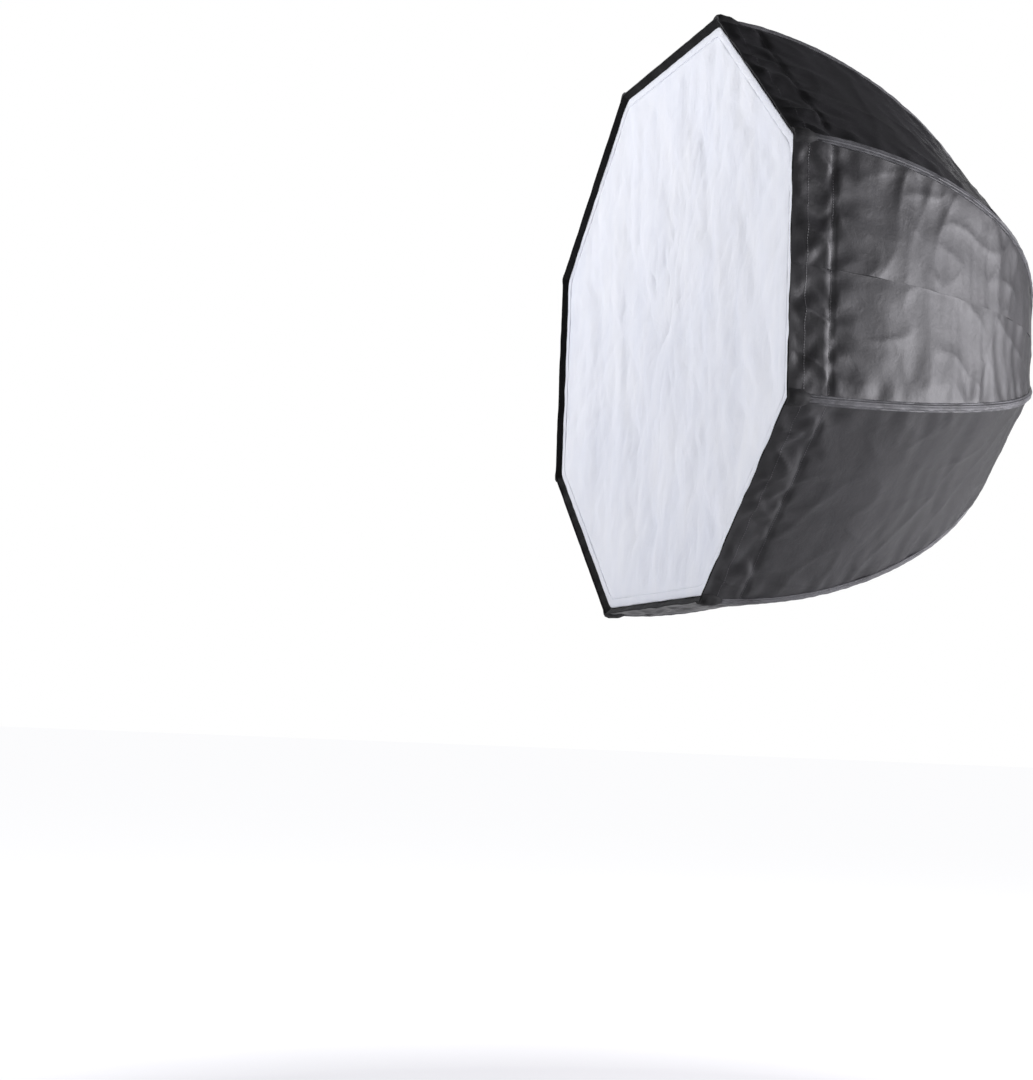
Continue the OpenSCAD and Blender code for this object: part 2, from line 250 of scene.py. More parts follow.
# ---------------------------------------------------------------- materials
class Mat:
    """A node material on one Principled shader."""

    def __init__(self, name, color, rough, **plain):
        self.mat = bpy.data.materials.new(name)
        self.mat.use_nodes = True
        self.nodes, self.links = self.mat.node_tree.nodes, self.mat.node_tree.links
        self.bsdf = self.nodes["Principled BSDF"]
        self.bsdf.inputs["Base Color"].default_value = (*color, 1)
        self.bsdf.inputs["Roughness"].default_value = rough
        for key, value in plain.items():
            self.bsdf.inputs[key.replace("_", " ")].default_value = value
        self.mat.diffuse_color = (*color, 1)
        self.height = None

    def node(self, kind, **props):
        n = self.nodes.new(kind)
        for k, v in props.items():
            setattr(n, k, v)
        return n

    def coords(self, kind="Object"):
        return self.node("ShaderNodeTexCoord").outputs[kind]

    def mapped(self, scale=(1, 1, 1), kind="Object", rotation=(0, 0, 0), location=(0, 0, 0)):
        m = self.node("ShaderNodeMapping")
        m.inputs["Scale"].default_value = scale
        m.inputs["Rotation"].default_value = rotation
        m.inputs["Location"].default_value = location
        self.links.new(self.coords(kind), m.inputs["Vector"])
        return m.outputs[0]

    def noise(self, vector, scale, detail=3.0, rough=0.55, distortion=0.0):
        n = self.node("ShaderNodeTexNoise")
        n.inputs["Scale"].default_value = scale
        n.inputs["Detail"].default_value = detail
        n.inputs["Roughness"].default_value = rough
        n.inputs["Distortion"].default_value = distortion
        self.links.new(vector, n.inputs["Vector"])
        return n.outputs["Fac"]

    def ramp(self, fac, stops):
        r = self.node("ShaderNodeValToRGB")
        while len(r.color_ramp.elements) < len(stops):
            r.color_ramp.elements.new(0.5)
        for e, (pos, col) in zip(r.color_ramp.elements, stops):
            e.position = pos
            e.color = (*col, 1)
        self.links.new(fac, r.inputs[0])
        return r.outputs[0]

    def math(self, op, a, b=None, c=None, clamp=False):
        m = self.node("ShaderNodeMath", operation=op, use_clamp=clamp)
        for i, v in enumerate((a, b, c)):
            if v is None:
                continue
            if isinstance(v, (int, float)):
                m.inputs[i].default_value = v
            else:
                self.links.new(v, m.inputs[i])
        return m.outputs[0]

    def mix(self, fac, a, b):
        m = self.node("ShaderNodeMix", data_type="RGBA")
        for key, v in (("Factor", fac), ("A", a), ("B", b)):
            socket = next(s for s in m.inputs if s.name == key and (s.type == "RGBA" or key == "Factor"))
            if isinstance(v, tuple):
                socket.default_value = (*v, 1)
            else:
                self.links.new(v, socket)
        return next(s for s in m.outputs if s.type == "RGBA")

    def color(self, socket):
        self.links.new(socket, self.bsdf.inputs["Base Color"])

    def rough(self, fac, low, high):
        m = self.node("ShaderNodeMapRange")
        m.inputs["To Min"].default_value = low
        m.inputs["To Max"].default_value = high
        self.links.new(fac, m.inputs["Value"])
        self.links.new(m.outputs[0], self.bsdf.inputs["Roughness"])

    def bump(self, fac, strength, distance):
        b = self.node("ShaderNodeBump")
        b.inputs["Strength"].default_value = strength
        b.inputs["Distance"].default_value = distance
        self.links.new(fac, b.inputs["Height"])
        if self.height is not None:
            self.links.new(self.height, b.inputs["Normal"])
        self.height = b.outputs[0]
        self.links.new(self.height, self.bsdf.inputs["Normal"])

    def separate(self, vector):
        s = self.node("ShaderNodeSeparateXYZ")
        self.links.new(vector, s.inputs[0])
        return s.outputs

    def weave(self, pitch):
        """Threads over and under each other, pitch in metres."""
        xyz = self.separate(self.coords("UV"))
        k = 2 * math.pi * UV_UNIT / pitch
        a = self.math("SINE", self.math("MULTIPLY", xyz[0], k))
        b = self.math("SINE", self.math("MULTIPLY", xyz[1], k))
        return self.math("MULTIPLY_ADD", self.math("MULTIPLY", a, b), 0.5, 0.5)

    def stitches(self, across, along, at, pitch=0.0034, width=0.0009):
        """Thread along the line where the UV socket across is at. at, pitch and width are in metres."""
        d = self.math("ABSOLUTE", self.math("SUBTRACT", self.math("MULTIPLY", across, UV_UNIT), at))
        line = self.math("SUBTRACT", 1.0, self.math("DIVIDE", d, width), clamp=True)
        dash = self.math("SINE", self.math("MULTIPLY", along, UV_UNIT * 2 * math.pi / pitch))
        return self.math("MULTIPLY", line, self.math("MULTIPLY_ADD", dash, 1.5, 0.7, clamp=True))


def nylon(name, base, rough, sheen, grey):
    """Coated nylon taffeta: fine weave, soft gloss, worn greyer along folds, with stitched seams."""
    m = Mat(name, base, rough, Specular_IOR_Level=0.19, Sheen_Weight=sheen, Sheen_Roughness=0.35)
    m.bsdf.inputs["Sheen Tint"].default_value = (0.85, 0.86, 0.92, 1)
    uv = m.separate(m.coords("UV"))
    cloud = m.noise(m.mapped(), 9, 4, 0.6)
    fine = m.noise(m.mapped(), 160, 3, 0.6)
    streak = m.noise(m.mapped((14, 1.6, 1), "UV"), 3.2, 3, 0.5)
    worn = m.math("MULTIPLY_ADD", cloud, 0.6, m.math("MULTIPLY", streak, 0.4))
    tone = m.ramp(worn, [(0.3, base), (0.72, grey)])
    weave = m.weave(0.0016)
    tone = m.mix(m.math("MULTIPLY", weave, 0.25), tone, tuple(min(1, c * 1.7 + 0.004) for c in base))
    thread = m.math("MAXIMUM", m.stitches(uv[1], uv[0], HEM), m.stitches(uv[1], uv[0], EDGE_SEAM))
    tone = m.mix(m.math("MULTIPLY", thread, 0.6), tone, (0.030, 0.030, 0.033))
    m.color(tone)
    m.rough(m.math("MULTIPLY_ADD", fine, 0.35, m.math("MULTIPLY", cloud, 0.65)), rough - 0.09, rough + 0.14)
    m.bump(weave, 0.16, 0.00018)
    m.bump(fine, 0.22, 0.0007)
    m.bump(m.noise(m.mapped(), 46, 3, 0.55, 0.6), 0.30, 0.0016)
    m.bump(thread, 0.8, 0.0007)
    return m.mat


def foil_cloth():
    """Silver foil laminated on cloth: fine crinkles and sharp fold lines, with a pressed ripstop grid."""
    m = Mat("silver_lining", (0.88, 0.885, 0.895), 0.24, Metallic=0.86, Specular_IOR_Level=0.5)
    uv = m.separate(m.coords("UV"))
    crinkle = m.noise(m.mapped((1.3, 7.5, 1), "UV"), 1.0, 4, 0.5, 0.22)
    cell = m.node("ShaderNodeTexVoronoi", feature="DISTANCE_TO_EDGE")
    cell.inputs["Scale"].default_value = 1.0
    m.links.new(m.mapped((1.5, 4.6, 1), "UV", location=(0.3, 0.7, 0)), cell.inputs["Vector"])
    fold = m.math("SUBTRACT", 1.0, m.math("MULTIPLY", cell.outputs["Distance"], 9.0), clamp=True)
    cloud = m.noise(m.mapped(), 16, 4, 0.6)
    m.color(m.ramp(cloud, [(0.3, (0.78, 0.79, 0.80)), (0.7, (0.93, 0.935, 0.94))]))
    m.rough(m.noise(m.mapped((3, 9, 1), "UV"), 1.5, 3, 0.6), 0.20, 0.42)
    m.bump(crinkle, 0.75, 0.0050)
    m.bump(fold, 0.45, 0.0014)
    m.bump(m.noise(m.mapped(), 70, 2, 0.5), 0.22, 0.0010)
    ripstop = 0.006
    lines = []
    for way in (uv[0], uv[1]):
        wave = m.math("SINE", m.math("MULTIPLY", way, UV_UNIT * math.pi / ripstop))
        lines.append(m.math("POWER", m.math("ABSOLUTE", wave), 40.0))
    m.bump(m.math("MAXIMUM", *lines), 0.06, 0.0003)
    return m.mat


def tape(name, base, grey, rough=0.62, rib=0.0011):
    """Woven grosgrain tape, ribbed across, with lint."""
    m = Mat(name, base, rough, Specular_IOR_Level=0.16, Sheen_Weight=0.02, Sheen_Roughness=0.5)
    cloud = m.noise(m.mapped(), 30, 4, 0.6)
    lint = m.ramp(m.noise(m.mapped(), 420, 2, 0.7), [(0.66, (0, 0, 0)), (0.74, (1, 1, 1))])
    tone = m.ramp(cloud, [(0.3, base), (0.75, grey)])
    m.color(m.mix(m.math("MULTIPLY", lint, 0.3), tone, tuple(min(1, c * 2 + 0.03) for c in grey)))
    m.rough(cloud, rough - 0.08, rough + 0.15)
    xyz = m.separate(m.coords("UV"))
    ribs = m.math("SINE", m.math("MULTIPLY", xyz[0], UV_UNIT * 2 * math.pi / rib))
    m.bump(ribs, 0.2, 0.0002)
    m.bump(m.noise(m.mapped(), 90, 3, 0.6), 0.35, 0.0011)
    return m.mat


def plastic(name, base, rough, coat=0.0):
    """Moulded plastic with a fine spark-eroded grain and handling wear."""
    m = Mat(name, base, rough, Specular_IOR_Level=0.5, Coat_Weight=coat)
    cloud = m.noise(m.mapped(), 70, 4, 0.6)
    m.color(m.ramp(cloud, [(0.3, base), (0.8, tuple(min(1, c * 1.5 + 0.012) for c in base))]))
    m.rough(cloud, rough - 0.1, rough + 0.14)
    m.bump(m.noise(m.mapped(), 1500, 2, 0.5), 0.35, 0.00015)
    m.bump(m.noise(m.mapped(), 300, 2, 0.5), 0.12, 0.0003)
    return m.mat


def metal(name, base, rough, stretch=(1, 1, 1)):
    """Drawn or turned metal: fine lines, faint blotches and small scuffs."""
    m = Mat(name, base, rough, Metallic=1.0)
    lines = m.noise(m.mapped(stretch), 260, 3, 0.6)
    blotch = m.noise(m.mapped(), 40, 4, 0.6)
    m.color(m.ramp(blotch, [(0.3, tuple(c * 0.82 for c in base)), (0.7, base)]))
    m.rough(m.math("MULTIPLY_ADD", lines, 0.6, m.math("MULTIPLY", blotch, 0.4)), rough - 0.1, rough + 0.16)
    m.bump(lines, 0.15, 0.0002)
    return m.mat


def glassfibre():
    """Pultruded fibreglass rod: pale greenish white, long fibres under a thin clear coat."""
    m = Mat("fibreglass", (0.72, 0.78, 0.62), 0.36, Coat_Weight=0.25, Subsurface_Weight=0.15)
    m.bsdf.inputs["Subsurface Radius"].default_value = (0.002, 0.002, 0.0015)
    fibre = m.noise(m.mapped(), 900, 3, 0.7)
    cloud = m.noise(m.mapped(), 24, 3, 0.6)
    tone = m.ramp(cloud, [(0.3, (0.70, 0.77, 0.60)), (0.7, (0.86, 0.89, 0.80))])
    m.color(m.mix(m.math("MULTIPLY", fibre, 0.25), tone, (0.92, 0.94, 0.88)))
    m.rough(fibre, 0.28, 0.48)
    m.bump(fibre, 0.2, 0.0002)
    return m.mat


def diffusion_cloth(name):
    """Thin white nylon: close weave, a faint lavender cast, light passing through, and painted shade along
    its upright creases.
    """
    m = Mat(name, (0.85, 0.875, 0.95), 0.62, Specular_IOR_Level=0.35, Sheen_Weight=0.2, Sheen_Roughness=0.5)
    m.bsdf.inputs["Subsurface Weight"].default_value = 0.06
    m.bsdf.inputs["Subsurface Radius"].default_value = (0.003, 0.003, 0.0033)
    cloud = m.noise(m.mapped(), 7, 4, 0.6)
    streak = m.noise(m.mapped((5, 1, 1.3), rotation=(0, 0.15, 0)), 5.0, 5, 0.6, 0.8)
    # the cloud is the cloth's own uneven tone; the streaks are painted shade, darker just where their bump
    # below sinks into a crease
    tone = m.ramp(m.math("MULTIPLY_ADD", cloud, 0.55, m.math("MULTIPLY", streak, 0.45)),
                  [(0.3, (0.775, 0.805, 0.90)), (0.7, (0.895, 0.91, 0.965))])
    weave = m.weave(0.0014)
    m.color(m.mix(m.math("MULTIPLY", weave, 0.18), tone, (0.93, 0.94, 0.97)))
    m.rough(cloud, 0.55, 0.75)
    m.bump(weave, 0.12, 0.00015)
    m.bump(streak, 0.35, 0.0040)
    m.bump(m.noise(m.mapped((2.2, 1, 1)), 34, 4, 0.6, 0.9), 0.45, 0.0018)
    return m.mat


def loop_tape(name, base):
    """The looped side of hook-and-loop tape: a matt, fuzzy pile."""
    m = Mat(name, base, 0.92, Specular_IOR_Level=0.15, Sheen_Weight=0.6, Sheen_Roughness=0.6)
    pile = m.noise(m.mapped(), 1100, 2, 0.7)
    m.color(m.ramp(pile, [(0.35, tuple(c * 0.5 for c in base)), (0.7, tuple(c * 2.2 for c in base))]))
    m.rough(pile, 0.85, 1.0)
    m.bump(pile, 0.9, 0.0008)
    return m.mat


SHELL = nylon("shell_nylon", (0.0060, 0.0058, 0.0064), 0.46, 0.008, (0.0105, 0.0102, 0.0118))
LINING = foil_cloth()
BORDER = tape("rim_tape", (0.003, 0.003, 0.0034), (0.0075, 0.0075, 0.008), 0.7)
WELT = tape("seam_tape", (0.024, 0.024, 0.026), (0.064, 0.064, 0.069), 0.45)
LOOP = loop_tape("hook_and_loop", (0.02, 0.02, 0.021))
FIBRE = glassfibre()
CLOTH = diffusion_cloth("diffuser_cloth")
CLOTH_EDGE = diffusion_cloth("diffuser_edge_cloth")
DARK = plastic("dark_plastic", (0.018, 0.018, 0.019), 0.42)
GREY = plastic("button_plastic", (0.16, 0.16, 0.17), 0.36, 0.1)
SHAFT = metal("shaft_metal", (0.76, 0.77, 0.79), 0.27, (1, 0.03, 1))
STEEL = metal("pin_steel", (0.62, 0.62, 0.64), 0.3)


def repaint(node, mat, ends=None, near=(), reach=0.0):
    """Gives a CAD node its material, with a second one on the faces near some points."""
    me = frame["nodes"][node].data
    me.materials.clear()
    me.materials.append(mat)
    if ends is None:
        me.polygons.foreach_set("material_index", [0] * len(me.polygons))
        return
    me.materials.append(ends)
    me.polygons.foreach_set(
        "material_index", [int(any((p.center - q).length < reach for q in near)) for p in me.polygons]
    )


for part in ("crown_hub", "crown_cap", "runner", "shaft_end_cap"):
    repaint(part, DARK)
repaint("shaft_tube", SHAFT)
repaint("crown_pins", STEEL)
repaint("runner_button", GREY)
# how far the steel ferrules reach from the pins in them
REAR_END, FRONT_END, STRETCHER_END = 0.0225, 0.0175, 0.0155
runner_eye = Vector((0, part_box("runner")[1].y - 0.005, 0))
for i in range(1, 9):
    at = {k: Vector(joints[f"{k}_fold_{i}"]["pos_m"]) for k in ("rib_rear", "rib_front", "stretcher")}
    repaint(f"rib_rear_{i}", FIBRE, STEEL, (at["rib_rear"], at["rib_front"]), REAR_END)
    repaint(f"rib_front_{i}", FIBRE, STEEL, (at["rib_front"],), FRONT_END)
    repaint(f"stretcher_{i}", FIBRE, STEEL, (at["stretcher"], runner_eye), STRETCHER_END)
    repaint(f"rib_clip_{i}", DARK)

# ---------------------------------------------------------------- the shell
OUTER, INNER = whole_curve(SKIN_OUT), whole_curve(SKIN_IN)
CROWN_HOLE = 0.0195
NEAR_CROWN = slice(300)  # the points of a section that its cut at the hole is looked up on
TOTAL = arc_length(OUTER)[-1]
OUTER_D = TOTAL - arc_length(OUTER)[::-1]  # the way back from the rim of each point of OUTER, rim first
STEP = 0.0042
SLOT_HALF, SLOT_Y, SLOT_COLS = 0.015, 0.025, 4  # the slot for the light stand, in the lowest panel
LOWEST = 6


def to_world(gore, n, y, t):
    """World points from a panel's number, the way out from the axis, y and the way across the panel."""
    a = math.radians(45 * gore)
    return np.stack([n * math.cos(a) - t * math.sin(a), y, n * math.sin(a) + t * math.cos(a)], -1)


def normals(curve):
    """The outward normal at each point of a section."""
    tangent = np.gradient(curve, axis=0)
    return np.stack([tangent[:, 1], -tangent[:, 0]], -1) / np.linalg.norm(tangent, axis=1)[:, None]


def lifted(gore, curve, normal, h, t):
    """World points h off a section's even surface, t across the panel."""
    n = curve[:, 0, None] + normal[:, 0, None] * h
    y = curve[:, 1, None] + normal[:, 1, None] * h
    return to_world(gore, n, y, t)


def cloth_uv(t, d):
    """UVs across the panel and back from the rim."""
    return np.stack([t / UV_UNIT, np.broadcast_to(d[:, None] / UV_UNIT, t.shape)], -1)


def outer_height(gore, d, t, w):
    """How far the cloth stands off its even surface.

    d runs back from the rim, t across from the panel's middle, and w is the half width there. Each term
    is a height in metres times a noise whose divisors are its wavelengths in metres.
    """
    e = np.maximum(w - np.abs(t), 0)
    seed = 17 * gore
    # billows, ripples, and folds across the panel
    h = 0.0026 * noise(d / 0.21 + gore * 3.1, t / 0.17, seed)
    h += 0.0011 * noise(d / 0.042, t / 0.12 + gore, seed + 1) * ease(d, 0.07, 0.20)
    across = noise(d / 0.027 + 0.8 * noise(d / 0.16, t / 0.10, seed + 8), t / 0.16, seed + 2)
    h += 0.0016 * across * ease(d, 0.12, 0.30)
    fold = ridge(d / 0.15 + t / 0.20, t / 0.075 - d / 0.34, seed + 6)
    h += 0.0013 * (fold**2 - 0.2) * ease(d, 0.055, 0.11)
    h += 0.0013 * (ridge((d - 0.5 * t) / 0.10, (t + 0.5 * d) / 0.26, seed + 7) ** 3 - 0.08)
    # puckers along the seams
    pucker = np.exp(-e / 0.030) * (1 - np.exp(-e / 0.007))
    h += 0.0062 * pucker * np.minimum(noise(d / 0.030, e / 0.08 + np.sign(t) * 5, seed + 3), 0.25)
    # the hem: its stitched groove, the band in front of it, and the gathers behind it
    hem = np.exp(-(((d - HEM) / 0.0040) ** 2))
    band = (1 - ease(d, HEM - 0.005, HEM + 0.001)) * ease(d, 0.003, 0.018)
    wave = noise(t / 0.030 + 0.7 * noise(t / 0.09, d / 0.03, seed + 9), d / 0.075, seed + 4)
    h += band * (0.0042 * wave + 0.0030 * (ridge(t / 0.050 + d / 0.11, d / 0.12, seed + 10) ** 2 - 0.2))
    h -= 0.0021 * hem * (1 + 0.5 * noise(t / 0.013, 0.3, seed + 11))
    behind = ease(d, HEM, HEM + 0.010) * np.exp(-np.maximum(d - HEM, 0) / 0.034)
    h += 0.0056 * behind * np.minimum(noise(t / 0.026, d / 0.060, seed + 5), 0.35)
    # the crease down the middle
    h -= 0.0002 * np.exp(-((t / 0.0060) ** 2)) * ease(d, HEM, HEM + 0.01)
    low = ease(TOTAL - d, 0.02, 0.16)
    return h * (1 - np.exp(-e / 0.009)) * (0.30 + 0.70 * low) * ease(d, 0.0, 0.010)


def inner_height(gore, d, t, w):
    """The lining hangs off the shell's inner face, never outside it, with sharp crinkles across the panel."""
    e = np.maximum(w - np.abs(t), 0)
    seed = 400 + 23 * gore
    free = (1 - np.exp(-e / 0.008)) * ease(d, 0.020, 0.045) * ease(TOTAL - d, 0.02, 0.09)
    bend = 0.9 * noise(t / 0.06, d / 0.16, seed)
    c = 0.0046 * ridge(d / 0.036 + bend, t / 0.17, seed + 1) ** 2
    c += 0.0030 * ridge(d / 0.017 + bend * 1.5, t / 0.075, seed + 2) ** 2
    c += 0.0021 * ridge((d + 0.6 * t) / 0.05, (t - 0.6 * d) / 0.10, seed + 4) ** 2
    c += 0.0026 * (noise(d / 0.07, t / 0.055, seed + 3) + 1) * 0.5
    if gore == LOWEST:  # flat round the stand slot
        c = c * ease(np.abs(t), 0.017, 0.030)
    return np.minimum(outer_height(gore, d, t, w), 0) - c * free


def section(full, levels):
    """Rows along a section through these levels, and each one's way back from the rim.

    The rim comes first, and there is a spare row at each end.
    """
    s = arc_length(full)
    q, d = full[::-1], (s[-1] - s[::-1]) * (TOTAL / s[-1])
    at = np.interp(levels, q[:, 1], d)
    rows = [np.linspace(u, v, int(round((v - u) / STEP)) + 1)[:-1] for u, v in zip(at, at[1:])]
    rows = np.concatenate(rows + [at[-1:]])
    rows = np.clip(np.concatenate([[2 * rows[0] - rows[1]], rows, [2 * rows[-1] - rows[-2]]]), 0, TOTAL)
    return np.stack([np.interp(rows, d, q[:, k]) for k in (0, 1)], -1), rows


def cloth_side(gore, side, full, levels, cols, height):
    """One face of half a panel, from the rim to the rear.

    Gives its points, smooth normals, UVs, section, area and length.
    """
    curve, d = section(full, levels)
    x = np.linspace(-1 / (cols - 1), 1, cols + 1)[None, :]
    w = curve[:, 0, None] * T8
    t = w * x
    if len(levels) > 2:  # even columns up to the stand slot's side, and even ones beyond it
        x0 = SLOT_COLS / (cols - 1)
        t = np.where(x <= x0, SLOT_HALF * x / x0, SLOT_HALF + (w - SLOT_HALF) * (x - x0) / (1 - x0))
    t = -side * t
    normal = normals(curve)
    p = lifted(gore, curve, normal, height(gore, d[:, None], t, w), t)
    n = np.cross(np.gradient(p, axis=0), np.gradient(p, axis=1))
    n /= np.linalg.norm(n, axis=-1)[:, :, None] + 1e-12
    flat = to_world(gore, normal[:, 0, None] + 0 * t, normal[:, 1, None] + 0 * t, 0 * t)
    n *= np.where((n * flat).sum(-1) < 0, -1, 1)[:, :, None]
    area, length = float(np.trapz(w[1:-1, 0], d[1:-1])), float(d[-2] - d[1])
    return p[1:-1, 1:], n[1:-1, 1:], cloth_uv(t, d)[1:-1, 1:], curve[1:-1], area, length


def border_rows(gore, side, cols):
    """The rim's border tape: along the back of the flange, round its edge, up the slope and over the rim."""
    e = np.array([-BORDER_IN, BORDER_BACK]) / math.hypot(BORDER_IN, BORDER_BACK)
    flat_n = rim_n - BORDER_IN
    back = TAPE_BACK_Y
    inner = flat_n - FLANGE
    # each point is n, y and the share of the corners' rounding: the tape's back, round the flange's edge,
    # the flange's face, up the slope, and over the rim
    path = [(x, back, (rim_n - x) / FLANGE) for x in np.linspace(rim_n - 0.0030, inner, 6)]
    path += [(inner - 0.0004, back - 0.0003, 1), (inner - 0.0006, back - 0.0006, 1)]
    path += [(inner - 0.0004, back - 0.0009, 1)]
    path += [(x, rim_y + BORDER_BACK, (flat_n - x) / FLANGE) for x in np.linspace(inner, flat_n - 0.0012, 5)]
    for s in np.linspace(0.0012, 0.0105, 6):
        path.append((flat_n - e[0] * s, rim_y + BORDER_BACK - e[1] * s, 0))
    path += [(rim_n - 0.0010, rim_y - 0.0002, 0), (rim_n - 0.0002, rim_y - 0.0003, 0)]
    path += [(rim_n + 0.0004, rim_y, 0)]
    path = np.array(path)
    x = np.linspace(0, 1, cols)[None, :]
    n = path[:, 0, None] + 0 * x
    w = n * T8
    along = w * x
    # the flange's inner corners are cut round
    start = w - 0.0124
    r = 0.030
    dip = r - np.sqrt(np.maximum(r * r - np.clip(along - start, 0, 0.0125) ** 2, 0))
    n = n - dip * np.clip(path[:, 2, None], 0, 1)
    t = -side * n * T8 * x
    face = ease(np.arange(len(path), dtype=float), 10, 15)[:, None]
    e_rib = np.maximum(n * T8 - np.abs(t), 0)
    wave = noise(t / 0.045 + gore * 7, 0.7 + 0 * n, 900 + gore)
    wave = wave + 0.5 * noise(t / 0.019, 0.2 + 0 * n, 930 + gore)
    wave = wave * (1 - np.exp(-e_rib / 0.02)) * face
    p = to_world(gore, n + 0.0015 * wave, path[:, 1, None] + 0.0013 * np.maximum(wave, -0.3), t)
    s = arc_length(path[:, :2])
    uv = np.stack([t / UV_UNIT, np.broadcast_to(TAPE_V + s[:, None] / UV_UNIT, t.shape)], -1)
    return p, uv, float(s[-1] / 2)


# what a face of a half panel is, and the material slot of each kind
SHELL_FACE, LINING_FACE, BORDER_FACE, EDGE_FACE = range(4)
SLOT_OF = np.array([0, 1, 2, 0])


def half_panel(name, rib, side, front):
    """Half a panel with its lining as one closed piece. The front one carries the rim's border."""
    gore = rib if side > 0 else rib - 1
    cols = int(round((rim_n if front else mid_p[0]) * T8 / STEP)) + 1
    if front:
        stops = [-SLOT_Y, SLOT_Y, split_y] if gore == LOWEST else [split_y]
        out_y, in_y = [rim_y + 0.0006] + stops, [TAPE_BACK_Y] + stops
    else:
        out_y, in_y = ([split_y, np.interp(CROWN_HOLE, *c[NEAR_CROWN].T)] for c in (OUTER, INNER))
    p_out, n_out, uv_out, c_out, area, length = cloth_side(gore, side, OUTER, out_y, cols, outer_height)
    p_in, n_in, uv_in, c_in, _, _ = cloth_side(gore, side, INNER, in_y, cols, inner_height)
    m_in, m_out = len(p_in), len(p_out)
    blocks, uvs, mid = [p_in[::-1]], [uv_in[::-1]], 0
    if front:
        p, uv, more = border_rows(gore, side, cols)
        blocks.append(p)
        uvs.append(uv)
        mid = len(p)
        area += more * rim_n * T8
        length += more
    blocks.append(p_out)
    uvs.append(uv_out)
    rows = m_in + mid + m_out
    kind = [LINING_FACE] * (m_in - 1) + [BORDER_FACE if front else EDGE_FACE] * (mid + 1)
    kind += [SHELL_FACE] * (m_out - 1) + [EDGE_FACE]
    faces = grid_faces(rows, cols, closed_rows=True).reshape(rows, cols - 1, 4)
    kinds = np.repeat(np.array(kind)[:, None], cols - 1, axis=1)
    keep = np.ones((rows, cols - 1), bool)
    slot = []
    if front and gore == LOWEST:
        # the slot's edge, walked on both faces: out along its front, back along its side, in along its rear
        for curve, first in ((c_in, lambda r: m_in - 1 - r), (c_out, lambda r: m_in + mid + r)):
            r0, r1 = (int(np.argmin(abs(curve[:, 1] - y))) for y in (-SLOT_Y, SLOT_Y))
            for r in range(r0, r1):
                keep[min(first(r), first(r + 1)), :SLOT_COLS] = False
            walk = [(r0, c) for c in range(SLOT_COLS)] + [(r, SLOT_COLS) for r in range(r0, r1)]
            walk += [(r1, c) for c in range(SLOT_COLS, -1, -1)]
            slot.append([first(r) * cols + c for r, c in walk])
    faces, kinds = [tuple(f) for f in faces[keep]], list(kinds[keep])
    if slot:
        for k in range(len(slot[0]) - 1):
            faces.append((slot[0][k], slot[0][k + 1], slot[1][k + 1], slot[1][k]))
            kinds.append(EDGE_FACE)
    # the two long edges, between the lining and the shell
    for c in (0, cols - 1):
        a = [(m_in - 1 - k) * cols + c for k in range(m_in)]
        b = [(m_in + mid + k) * cols + c for k in range(m_out)]
        rim = [(m_in + k) * cols + c for k in range(mid)]
        skip = max(0, m_out - m_in)
        gap = range(r0, r1) if slot and c == 0 else ()
        for k in range(min(m_in, m_out) - 1):
            if skip + k not in gap:
                faces.append((a[k], a[k + 1], b[skip + k + 1], b[skip + k]))
                kinds.append(EDGE_FACE)
        ring = [a[0]] + rim + b[: skip + 1]
        if len(ring) > 2:
            faces.append(tuple(ring))
            kinds.append(EDGE_FACE)
    verts = np.vstack(blocks).reshape(-1, 3)
    kinds = np.array(kinds)
    o = new_object(name, verts, faces, np.vstack(uvs).reshape(-1, 2), (SHELL, LINING, BORDER), SLOT_OF[kinds])
    # the cloth's own smooth normals, so that the halves of a panel look like one
    given = np.zeros((len(verts), 3))
    given[: m_in * cols] = -n_in[::-1].reshape(-1, 3)
    given[(m_in + mid) * cols:] = n_out.reshape(-1, 3)
    outward(o)
    me = o.data
    me.set_sharp_from_angle(angle=math.radians(55))
    count = np.zeros(len(me.polygons), np.int32)
    me.polygons.foreach_get("loop_total", count)
    at = np.zeros(len(me.loops), np.int32)
    me.loops.foreach_get("vertex_index", at)
    cloth = np.repeat(kinds < BORDER_FACE, count)
    me.normals_split_custom_set(np.where(cloth[:, None], given[at], 0.0).tolist())
    return o, area, length


def rib_frame(i):
    """Outward and sideways directions of a rib's plane."""
    a = math.radians(45 * i - 22.5)
    return Vector((math.cos(a), 0, math.sin(a))), Vector((-math.sin(a), 0, math.cos(a)))


def fold_flat(piece):
    """Gives the piece its own copy of its mesh, left as it is."""
    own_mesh(piece)


for i in range(1, 9):
    for side, letter in ((1, "a"), (-1, "b")):
        for front in (True, False):
            part = "front" if front else "rear"
            o, flat_area, length = half_panel(f"shell_{part}_{i}{letter}", i, side, front)
            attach(o, f"rib_{part}_{i}")
            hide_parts(f"canopy_{part}_{i}")
            fold_flat(o)
            across = (rim_n if front else mid_p[0]) * T8

# ---------------------------------------------------------------- seams along the ribs
# half of each strip's section, from the middle out: way from the seam, and height over the cloth
WELT_SHAPE = [(0.0, 0.0014), (0.0008, 0.0026), (0.0020, 0.0030), (0.0031, 0.0024), (0.0037, 0.0012),
              (0.0043, 0.0015), (0.0053, 0.0020), (0.0062, 0.0014), (0.0066, 0.0002)]
POCKET_SHAPE = [(0.0, 0.0056), (0.0034, 0.0052), (0.0064, 0.0040), (0.0088, 0.0023), (0.0104, 0.0008),
                (0.0110, 0.0001)]
LUMPS = 0.18  # how uneven a strip's height is, as a share of it
UNDERSIDE = -0.0004  # just inside the cloth
ROW_STEP = 0.0032


